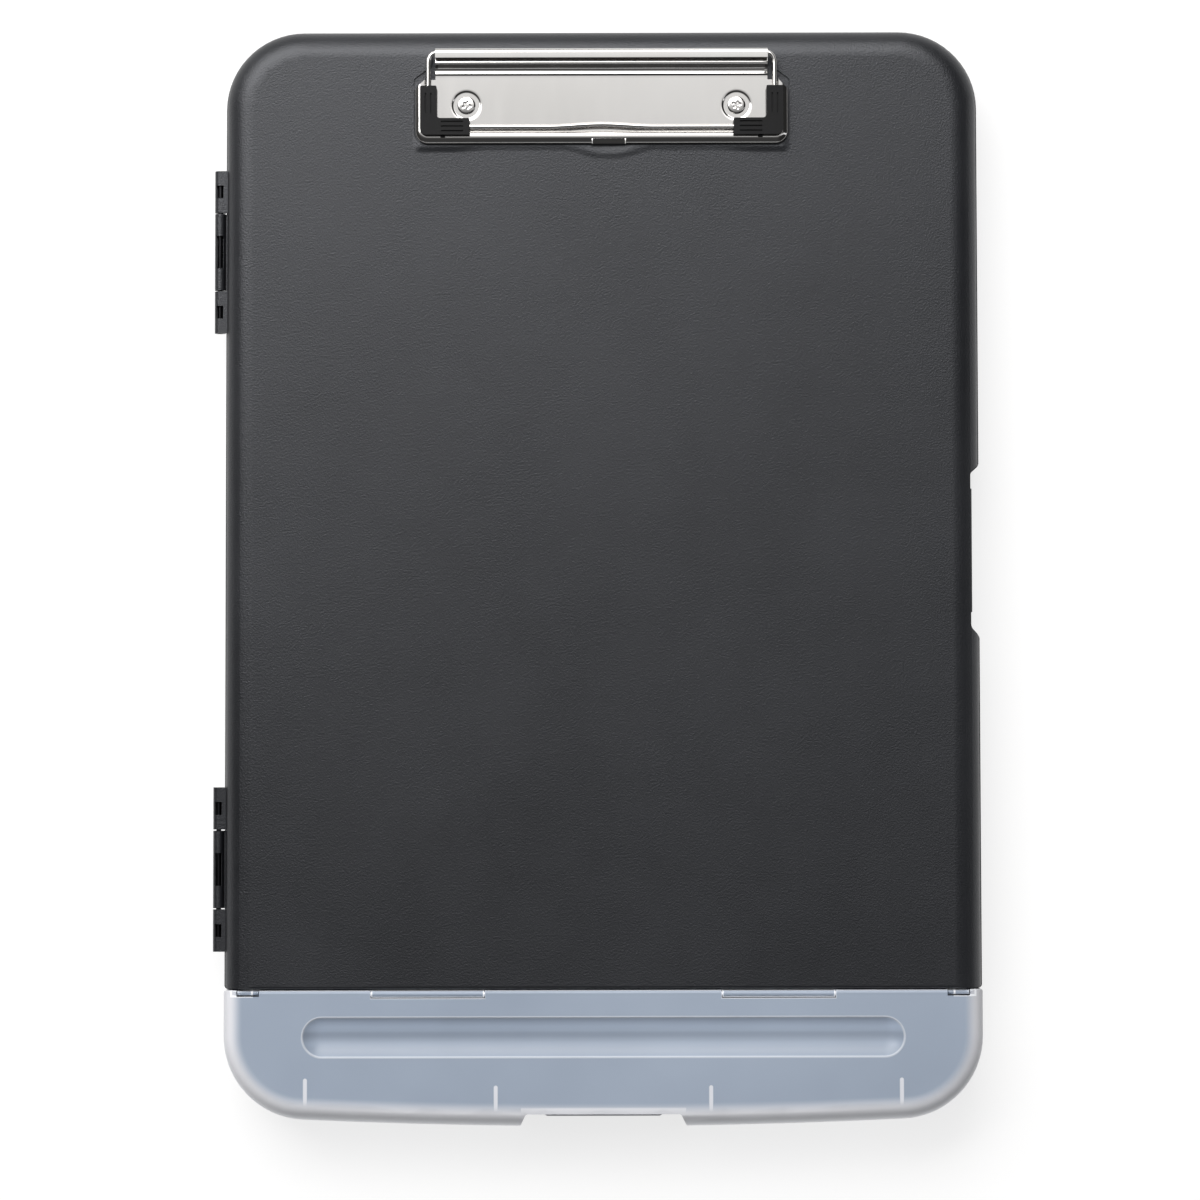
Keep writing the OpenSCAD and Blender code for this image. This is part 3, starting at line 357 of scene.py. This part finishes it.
def makePenPlastic():
    f = Finish("penPlastic")
    x, y, z = (f.split(f.place, axis) for axis in "XYZ")
    _, top, face = penBox[1]
    side = f.size(x)
    nearFace = f.smooth(z, *(face + depth for depth in penShape["face"]))
    haze = f.noise(*penLook["haze"])
    rim, edge = penRim(f, side, x, y)
    # the lid's tone in clouds: its own blue-grey, with painted shade of the hollow behind it
    core = f.tones(f.noise(*penLook["cloud"]), penLook["low"], penLook["high"])
    # pen groove: a painted highlight round its rim, and painted light and shade bands where its sides
    # turn
    radius = penShape["radius"]
    across = f.minus(y, top - penShape["back"])
    off = f.minus(f.far(f.most(f.minus(side, penShape["run"]), 0), across), radius)
    inside = f.times(f.smooth(off, *penShape["wall"]), nearFace)
    paintedGrooveBands = f.curve(f.span(across, 0, 1, -radius, radius), penLook["groove"], penLook["brightest"])
    core = f.scale(core, f.plus(f.times(f.minus(paintedGrooveBands, 1), inside), 1))
    grooveHighlight = f.times(nearLine(f, off), nearFace, penLook["grooveShare"])
    # slots for the lugs and stops: painted highlight lines along their edges, which also glow
    slots = []
    for middle, half, deep in penShape["slots"]:
        sideways = f.minus(f.size(f.minus(side, middle)), half)
        inwards = f.minus(top, y, deep)
        slots.append(nearLine(f, f.plus(f.most(sideways, inwards), penShape["lineIn"])))
    glow = f.times(f.most(*slots), nearFace)
    # painted highlight along the hinge edge
    hingeHighlight = f.smooth(y, *(top + depth for depth in penShape["hinge"]))
    line = f.most(grooveHighlight, glow, f.times(hingeHighlight, nearFace, penLook["hingeShare"]))
    # painted glow: a weak emission on the slot lines and the outline, for light gathered in the
    # plastic
    paintedGlow = f.most(f.times(glow, penLook["glow"]), f.times(edge, penLook["edgeGlow"]))
    return f.done({
        # base colour: painted shade over the hollow, painted light in walls and ribs, painted
        # highlights along edges
        "Base Color": f.blend(line, f.blend(rim, core, penLook["rim"]), penLook["line"]),
        "Alpha": f.span(rim, *penLook["alpha"]),
        "Roughness": f.span(haze, *penLook["rough"]),
        "Normal": f.bump(haze, *penLook["hazeRise"]),
        "Emission Color": penLook["line"],
        "Emission Strength": paintedGlow,
    })


evenLooks = {
    "nickel": {
        "low": srgb(196, 194, 191), "high": srgb(201, 199, 197), "cloud": (9, 2, 0.5),
        "grain": (300, 3, 0.6, (1, 0.15, 1)), "rise": (0.004, 0.2 * mm),
        "roughBy": "grain", "rough": (0.07, 0.12, *noiseRange), "values": {"Metallic": 1},
    },
    "pinSteel": {
        "low": srgb(22, 22, 24), "high": srgb(38, 38, 40), "cloud": (900, 3, 0.6, (1, 0.03, 1)),
        "grain": (900, 3, 0.6, (1, 0.03, 1)), "rise": (0.1, 0.1 * mm),
        "roughBy": "grain", "rough": (0.25, 0.4), "values": {"Metallic": 1},
    },
    "gripRubber": {
        "low": srgb(14, 14, 15), "high": srgb(22, 22, 23), "cloud": (60, 4, 0.6),
        "grain": (1400, 3, 0.6), "rise": (0.1, 0.2 * mm),
        "roughBy": "cloud", "rough": (0.42, 0.58), "values": {"Specular IOR Level": 0.14},
    },
}


def makeEven(name):                             # two close tones in clouds, and a fine grain
    look = evenLooks[name]
    f = Finish(name)
    noises = {key: f.noise(*look[key]) for key in ("cloud", "grain")}
    return f.done({
        "Base Color": f.tones(noises["cloud"], look["low"], look["high"]),
        "Roughness": f.span(noises[look["roughBy"]], *look["rough"]),
        "Normal": f.bump(noises["grain"], *look["rise"]),
        **look["values"],
    })


finishes = {"black": makeBlackPlastic(), "pen": makePenPlastic()}
for name in evenLooks:
    finishes[name] = makeEven(name)
wears = {
    "black": ["base_tray", "cover", "latch"],
    "pen": ["pen_tray", "pen_lid"],
    "nickel": ["clip_plate", "clip_wire", "rivet_left", "rivet_right", "washer_left",
               "washer_right"],
    "pinSteel": ["hinge_pin_upper", "hinge_pin_lower"],
    "gripRubber": ["boot_left", "boot_right"],
}
shading = {
    "weld": 0.002 * mm,                         # points this near are one
    "solid": 32, "rivet": 50, "tab": 30,        # degrees from which an edge stays sharp
}


def sharpEdges(made, degrees):
    made.modifiers.new("edges", "EDGE_SPLIT").split_angle = math.radians(degrees)


def evenShading(made):
    made.modifiers.new("even shading", "WEIGHTED_NORMAL").keep_sharp = True


def dress(part, material):
    mesh = part.data
    mesh.materials.clear()
    mesh.materials.append(material)
    for face in mesh.polygons:
        face.use_smooth = True
    part.modifiers.new("weld", "WELD").merge_threshold = shading["weld"]
    sharpEdges(part, shading["solid"])
    evenShading(part)


for finish, names in wears.items():
    for name in names:
        dress(parts[name], finishes[finish])
print("finishes set")


# clip

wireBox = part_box("clip_wire")
wireRadius = (wireBox[1][2] - wireBox[0][2]) / 2
clipAt = {
    "half": clipBox[1][0], "seat": clipBox[0][2],
    "rollY": wireBox[1][1] - wireRadius, "wireZ": wireBox[1][2] - wireRadius,
    "armX": wireBox[1][0] - wireRadius, "runY": wireBox[0][1] + wireRadius,
}


def clipPiece(name, data, body, *replaced):     # in nickel
    made = addObject(name, data)
    data.materials.append(finishes["nickel"])
    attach(made, body)
    if replaced:
        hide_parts(*replaced)
    return made


def smoothMesh(name, bm):
    bmesh.ops.remove_doubles(bm, verts=bm.verts, dist=shading["weld"])
    bmesh.ops.recalc_face_normals(bm, faces=bm.faces)
    mesh = bpy.data.meshes.new(name)
    bm.to_mesh(mesh)
    bm.free()
    for face in mesh.polygons:
        face.use_smooth = True
    return mesh


def grid(bm, rows):                             # faces between equal rows of points
    made = [[bm.verts.new(point) for point in row] for row in rows]
    for low, high in zip(made, made[1:]):
        for a, b, c, d in zip(low, low[1:], high[1:], high):
            bm.faces.new((a, b, c, d))


def arc(centre, radius, start, end, steps):     # points on a circle, angles in degrees
    x, y = centre
    turns = [math.radians(start + (end - start) * step / steps) for step in range(steps + 1)]
    return [(x + radius * math.cos(turn), y + radius * math.sin(turn)) for turn in turns]


def circle(centre, radius, z, steps):           # its last point is its first again
    return [(x, y, z) for x, y in arc(centre, radius, 0, 360, steps)]


def hump(along):                                # 1 at 0, and down to 0 at -1 and 1
    return 0.5 + 0.5 * math.cos(math.pi * along)


def humpLine(middle, half, base, height, steps):     # a straight line with one hump
    stations = [2 * step / steps - 1 for step in range(steps + 1)]
    return [(middle + half * along, base + height * hump(along)) for along in stations]


def softened(points, cut=0.25, rounds=2):       # rounds an open outline by cutting its corners
    for _ in range(rounds):
        made = [points[0]]
        for (ax, ay), (bx, by) in zip(points, points[1:]):
            made.append((ax + (bx - ax) * cut, ay + (by - ay) * cut))
            made.append((bx - (bx - ax) * cut, by - (by - ay) * cut))
        points = made + [points[-1]]
    return points


sheet = {                                       # heights above the seat, places from the roll's axis
    "thick": 0.7 * mm, "floor": 1.6 * mm, "worn": 0.12 * mm, "wornAngle": 50,
    # flange: distances in from the outline
    "corner": 4 * mm, "low": -28.6 * mm, "ears": -8.2 * mm, "earCut": 3 * mm,
    "curl": 0.76 * mm, "faceLean": 24, "ridge": (1.75 * mm, 2.4 * mm), "rim": (3.55 * mm, 2.2 * mm),
    "rampFoot": 3.9 * mm, "rampEnd": 4 * mm,
    # hem and roll
    "rollHalf": 53 * mm, "rollInside": 0.8 * mm,
    "hemStart": -7.6 * mm, "hemEnd": (-1.65 * mm, 4.69 * mm),
    "crease": (-6.25 * mm, 0.7 * mm, 0.2 * mm),          # place, half width and height
    "slope": [(-5.3 * mm, 1.62 * mm), (-4.95 * mm, 1.66 * mm), (-4.6 * mm, 1.80 * mm),
              (-3.22 * mm, 3.04 * mm), (-3.0 * mm, 3.12 * mm), (-2.7 * mm, 3.12 * mm),
              (-1.7 * mm, 3.02 * mm), (-0.8 * mm, 3.05 * mm)],
    "columns": 40, "wave": 0.012 * mm, "waves": 3,
    # rivet seats: a flat ring, then a dish
    "rivet": (43.1 * mm, -16.4 * mm), "hole": 5.3 * mm, "dish": 4.8 * mm, "dishFloor": 4.15 * mm,
    "dishIn": 2.6 * mm, "dishLow": 1.36 * mm, "ring": 48, "dishSteps": 12,
    "cornerSteps": 14, "curlSteps": 10, "rollSteps": 16, "creaseSteps": 12,
}
seats = [(side * sheet["rivet"][0], clipAt["rollY"] + sheet["rivet"][1]) for side in (-1, 1)]
hemEdge = sheet["rollHalf"]
columns = [hemEdge - 2 * hemEdge * step / sheet["columns"] for step in range(sheet["columns"] + 1)]


def flangeSection():                            # distances in from the outline, and heights
    (ridge, top), lean, r = sheet["ridge"], math.radians(sheet["faceLean"]), sheet["curl"]
    turned = r * (1 - math.sin(lean))           # how far in the curl ends
    faceLow = top - (ridge - turned) * math.tan(lean)
    rise = faceLow - r * math.cos(lean)
    curl = arc((r, rise), r, 180, 90 + sheet["faceLean"], sheet["curlSteps"])
    floor = [(sheet[key], sheet["floor"]) for key in ("rampFoot", "rampEnd")]
    return [(0, 0)] + curl + softened([curl[-1], (ridge, top), sheet["rim"]] + floor)[1:]


def addFlange(bm):                              # round three sides, with its upper corners cut
    half, low, r = clipAt["half"], clipAt["rollY"] + sheet["low"], sheet["corner"]
    ears = clipAt["rollY"] + sheet["ears"]
    rows = []
    for inset, height in flangeSection():
        right = arc((half - r, low + r), max(r - inset, 0), 0, -90, sheet["cornerSteps"])
        left = [(-x, y) for x, y in reversed(right)]
        line = [(half - inset, ears)] + right + left + [(inset - half, ears)]
        rows.append([(x, y, clipAt["seat"] + height) for x, y in line])
    grid(bm, rows)
    for side in (-1, 1):
        bmesh.ops.bisect_plane(bm, geom=bm.verts[:] + bm.edges[:] + bm.faces[:],
                               plane_co=(side * half, ears - sheet["earCut"], 0),
                               plane_no=(side, 1, 0), clear_outer=True)


def addFloor(bm):                               # flat, with a round hole for each rivet seat
    half, z = clipAt["half"] - sheet["rampEnd"], clipAt["seat"] + sheet["floor"]
    low = clipAt["rollY"] + sheet["low"] + sheet["corner"]
    ears, start = clipAt["rollY"] + sheet["ears"], clipAt["rollY"] + sheet["hemStart"]
    outline = [(-half, ears), (-half, low), (half, low), (half, ears), (hemEdge, ears)]
    outline += [(x, start) for x in columns] + [(-hemEdge, ears)]
    holes = [arc(centre, sheet["hole"], 0, 360, sheet["ring"])[:-1] for centre in seats]
    points, lines = [], []
    for loop in [outline] + holes:
        first, count = len(points), len(loop)
        points += [Vector(point) for point in loop]
        lines += [(first + step, first + (step + 1) % count) for step in range(count)]
    filled, _, faces, _, _, _ = delaunay_2d_cdt(points, lines, [], 1, 1e-7)
    verts = [bm.verts.new((point.x, point.y, z)) for point in filled]
    for face in faces:
        middle = sum((filled[index] for index in face), Vector((0, 0))) / len(face)
        inHole = any(math.dist(middle, centre) < sheet["hole"] * 0.999 for centre in seats)
        inNotch = abs(middle.x) > hemEdge and middle.y > ears
        if not inHole and not inNotch:
            bm.faces.new([verts[index] for index in face])


def addSeats(bm):                               # a dish in each hole
    z, depth = clipAt["seat"] + sheet["floor"], sheet["floor"] - sheet["dishLow"]
    dish = sheet["dish"]
    for centre in seats:
        rows = [circle(centre, sheet["hole"], z, sheet["ring"])]
        for step in range(sheet["dishSteps"] + 1):
            radius = dish + (sheet["dishIn"] - dish) * step / sheet["dishSteps"]
            fall = min(1, (dish - radius) / (dish - sheet["dishFloor"]))
            rows.append(circle(centre, radius, z - depth * (1 - hump(fall)), sheet["ring"]))
        grid(bm, rows)


def hemSection():                               # from the pan's floor up to the end of the hem
    centre = clipAt["wireZ"] - clipAt["seat"]
    bend = arc((0, centre), sheet["rollInside"], -90, 90, sheet["rollSteps"])
    slope = softened(sheet["slope"] + [bend[0]])
    middle, half, height = sheet["crease"]
    crease = humpLine(middle, half, sheet["floor"], height, sheet["creaseSteps"])
    return [(sheet["hemStart"], sheet["floor"])] + crease + slope[:-1] + bend + [sheet["hemEnd"]]


def addHem(bm):                                 # slightly waved above the floor, as pressed sheet is
    waves = [sheet["wave"] * math.cos(sheet["waves"] * math.pi * x / hemEdge) for x in columns]
    rows = []
    for place, height in hemSection():
        up = max(0, min(1, (height - sheet["floor"]) / mm))
        y, z = clipAt["rollY"] + place, clipAt["seat"] + height
        rows.append([(x, y, z + up * wave) for x, wave in zip(columns, waves)])
    grid(bm, rows)


def makePlate():
    bm = bmesh.new()
    for add in (addFlange, addFloor, addSeats, addHem):
        add(bm)
    mesh = smoothMesh("clipSheet", bm)
    if sum(face.normal.z * face.area for face in mesh.polygons) < 0:
        mesh.flip_normals()
    made = clipPiece("clip_sheet", mesh, "cover", "clip_plate")
    solid = made.modifiers.new("sheet", "SOLIDIFY")
    solid.thickness = sheet["thick"]
    solid.use_even_offset = True
    bevel = made.modifiers.new("worn edges", "BEVEL")
    bevel.width = sheet["worn"]
    bevel.segments = 2
    bevel.limit_method = "ANGLE"
    bevel.angle_limit = math.radians(sheet["wornAngle"])
    evenShading(made)


wire = {
    "bend": (2.2 * mm, 3.2 * mm), "bendSteps": 12,       # at the roll: half width and depth
    "lowBend": 2.2 * mm, "lowSteps": 10,
    "bowHalf": 17 * mm, "bowRise": 0.75 * mm, "bowSteps": 24,
    "lead": (2 * mm, 4 * mm),                   # straight run next to a bend, and next to the bow
    "roundness": 6,
}


def makeWire():
    x, top, low, z = clipAt["armX"], clipAt["rollY"], clipAt["runY"], clipAt["wireZ"]
    (wide, deep), r, half = wire["bend"], wire["lowBend"], wire["bowHalf"]
    bendLead, bowLead = wire["lead"]
    bend = [(x - wide + wide * px, top - deep + deep * py)
            for px, py in arc((0, 0), 1, 90, 0, wire["bendSteps"])]
    right = [(x - wide - bendLead, top)] + bend + arc((x - r, low + r), r, 0, -90, wire["lowSteps"])
    right += [(half + bowLead, low)]
    bow = humpLine(0, half, low, wire["bowRise"], wire["bowSteps"])
    path = [(0, top)] + right + bow[::-1] + [(-px, py) for px, py in reversed(right)]
    data = bpy.data.curves.new("bailWire", "CURVE")
    data.dimensions = "3D"
    data.bevel_depth = wireRadius
    data.bevel_resolution = wire["roundness"]
    line = data.splines.new("POLY")
    line.points.add(len(path) - 1)
    for point, (px, py) in zip(line.points, path):
        point.co = (px, py, z, 1)
    line.use_cyclic_u = True
    line.use_smooth = True
    clipPiece("bail_wire", data, "bail", "clip_wire")


rivet = {
    "head": 3.2 * mm, "dome": 0.32 * mm, "rim": 0.85 * mm, "rings": 22, "sides": 72,
    "brim": 0.14 * mm, "neck": (2 * mm, 0.55 * mm),      # below the head's rim
    "tail": [(2 * mm, 1 * mm), (2.6 * mm, 0.8 * mm), (2.6 * mm, 0.2 * mm), (2.2 * mm, 0), (0, 0)],
    "mark": 1.35 * mm, "markDeep": 0.13 * mm, "markSlope": 0.45 * mm,
    "lobes": ((5, 0.22, 0.4), (3, 0.16, 1.9), (2, 0.1, 0.8)),       # number, share and turn
}


def headDrop(radius, turn, side):               # fall of the rivet's head, with its pressed mark
    head, rim, mark = rivet["head"], rivet["rim"], rivet["mark"]
    reach = mark * (1 + sum(share * math.cos(lobes * turn + shift * side)
                            for lobes, share, shift in rivet["lobes"]))
    into = max(0, min(1, (reach - radius) / rivet["markSlope"]))
    edge = max(0, (radius - (head - rim)) / rim)
    drop = rivet["dome"] * (radius / head) ** 2 + rim * (1 - math.sqrt(max(0, 1 - edge * edge)))
    return drop + rivet["markDeep"] * into * into * (3 - 2 * into)


def makeRivet(node, side):
    (x0, y0, low), (x1, y1, top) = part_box(node)
    x, y = (x0 + x1) / 2, (y0 + y1) / 2
    rings, sides = rivet["rings"], rivet["sides"]
    turns = [math.tau * step / sides for step in range(sides + 1)]
    rows = []
    for ring in range(rings + 1):
        radius = rivet["head"] * ring / rings
        rows.append([(x + radius * math.cos(turn), y + radius * math.sin(turn),
                      top - headDrop(radius, turn, side)) for turn in turns])
    rimLow = top - rivet["dome"] - rivet["rim"]
    neck, under = rivet["neck"]
    profile = [(rivet["head"], rimLow - rivet["brim"]), (neck, rimLow - under)]
    profile += [(radius, low + height) for radius, height in rivet["tail"]]
    rows += [circle((x, y), radius, z, sides) for radius, z in profile]
    bm = bmesh.new()
    grid(bm, rows)
    made = clipPiece(node + "_turned", smoothMesh(node, bm), "cover", node)
    sharpEdges(made, shading["rivet"])


tab = {
    "half": 5.4 * mm, "x": 2.3 * mm,
    "end": 0.24 * mm, "step": 0.01 * mm,        # width of the end ribs, and of the step beside them
    # in mm: how far in from the front, and the height
    "face": [(0, 0.05), (0, 1.25), (0.18, 1.64), (0.75, 1.93), (1.7, 2.40), (1.78, 2.36),
             (1.8, 0.05)],
    "rib": [(0.05, 0.05), (0.05, 2.30), (0.14, 2.40), (0.75, 2.41), (1.5, 2.42), (1.7, 2.36),
            (1.75, 0.05)],
}


def makeTab():                                  # pressed tongue at the middle of the lower edge
    front, seat = clipBox[0][1], clipAt["seat"]
    half, inner = tab["half"], tab["half"] - tab["end"]
    left = [(-half, "rib"), (-inner, "rib"), (tab["step"] - inner, "face")]
    right = [(-out, section) for out, section in reversed(left)]
    rows = []
    for out, section in left + right:
        rows.append([(tab["x"] + out, front + place * mm, seat + height * mm)
                     for place, height in tab[section]])
    bm = bmesh.new()
    grid(bm, rows)
    for row in (rows[0], rows[-1]):
        bm.faces.new([bm.verts.new(point) for point in row])
    made = clipPiece("clip_tab", smoothMesh("clipTab", bm), "cover")
    sharpEdges(made, shading["tab"])


makePlate()
makeWire()
makeRivet("rivet_left", 1)
makeRivet("rivet_right", -1)
makeTab()
print("clip made")


# studio

studio = {
    "radius": 3, "wall": 0.6, "sides": 64, "low": -0.2 * mm,
    "colour": srgb(142, 142, 142), "rough": 0.9, "gloss": 0.1, "lift": 0.75,
}


def makePaper():                                # pale paper that stays even under uneven light
    f = Finish("studioPaper")
    rays = f.node("LightPath").outputs
    seen = f.most(rays["Is Camera Ray"], rays["Is Glossy Ray"], rays["Is Transmission Ray"])
    return f.done({
        "Base Color": studio["colour"], "Roughness": studio["rough"],
        "Specular IOR Level": studio["gloss"],
        "Emission Color": (1, 1, 1, 1), "Emission Strength": f.times(seen, studio["lift"]),
    })


def makeStudio():                               # round floor with an upright wall
    count = studio["sides"]
    points = [(0, 0, 0)]
    for height in (0, studio["wall"]):
        points += circle((0, 0), studio["radius"], height, count)[:-1]
    faces = []
    for step in range(count):
        here, after = 1 + step, 1 + (step + 1) % count
        faces.append((0, here, after))
        faces.append((here, here + count, after + count, after))
    mesh = bpy.data.meshes.new("studio")
    mesh.from_pydata(points, [], faces)
    mesh.materials.append(makePaper())
    room = addObject("studio", mesh)
    room.location.z = studio["low"]


makeStudio()
print("studio made")
